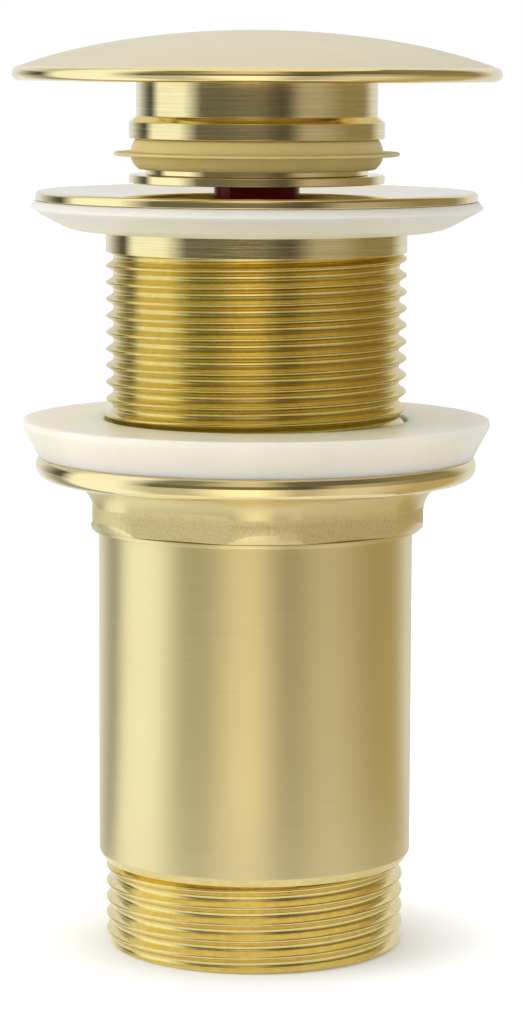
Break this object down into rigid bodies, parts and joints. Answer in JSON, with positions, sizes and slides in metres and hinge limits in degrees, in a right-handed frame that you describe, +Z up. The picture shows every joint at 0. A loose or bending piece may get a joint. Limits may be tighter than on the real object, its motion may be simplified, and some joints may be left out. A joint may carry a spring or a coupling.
{
  "type": "basin drain plug",
  "caption": "Click-clack basin waste: domed mushroom plug on a push ratchet, dished flange on a threaded shank, conical clamp washers and a screw-on outlet tail.",
  "frame": {"origin": "centre of the outlet's end face, on which the part stands upright", "axes": "+Z up the common axis, from the outlet to the domed cap; +X and +Y across it, with a corner of the hexagon on the Y axis"},
  "size_m": [0.0676, 0.0676, 0.1282],
  "materials": {
    "tail_brass": "satin turned tube with a rough forged hexagon and a polished rim",
    "washer_plastic": "translucent cream, soft",
    "body_brass": "polished flange, turned collar and cut thread",
    "inner_brass": "turned",
    "inner_steel": "bright",
    "oring_rubber": "smooth",
    "white_plastic": "moulded",
    "red_plastic": "moulded, deep red",
    "collar_brass": "turned, with fine lathe lines",
    "seal_rubber": "tan silicone",
    "cap_brass": "satin dome with a polished rim"
  },
  "bodies": {
    "waste": {"waste_body": "body_brass", "top_washer": "washer_plastic", "cartridge_base": "inner_brass", "cartridge_housing": "inner_brass", "cartridge_cap": "inner_brass", "plunger_oring": "oring_rubber", "ratchet_guide": "white_plastic", "return_spring": "inner_steel", "lock_washer": "inner_steel", "lock_nut": "inner_brass"},
    "plug": {"plug_cap": "cap_brass", "plug_collar": "collar_brass", "plug_seal": "seal_rubber", "plug_stud": "inner_steel", "jam_nut": "inner_steel", "plunger": "red_plastic", "ratchet_rotor": "white_plastic", "spring_seat": "inner_steel"},
    "clamp_washer": {"lower_washer": "washer_plastic"},
    "tail": {"tail_body": "tail_brass"}
  },
  "joints": [
    {"name": "plug_press", "type": "slide", "parent": "waste", "child": "plug", "axis": [0, 0, 1], "range_m": [-0.0056, 0], "stiffness_N_per_m": 1200, "springref_m": 0.008, "deforming": ["return_spring"]},
    {"name": "washer_slide", "type": "slide", "parent": "waste", "child": "clamp_washer", "axis": [0, 0, 1], "range_m": [-0.0047, 0.0238]},
    {"name": "tail_turn", "type": "hinge", "parent": "clamp_washer", "child": "tail", "pos_m": [0, 0, 0], "axis": [0, 0, 1], "range_deg": [-720, 3690]}
  ],
  "couplings": [
    {"joint": "washer_slide", "follows": "tail_turn", "m_per_rad": 0.00036749}
  ]
}
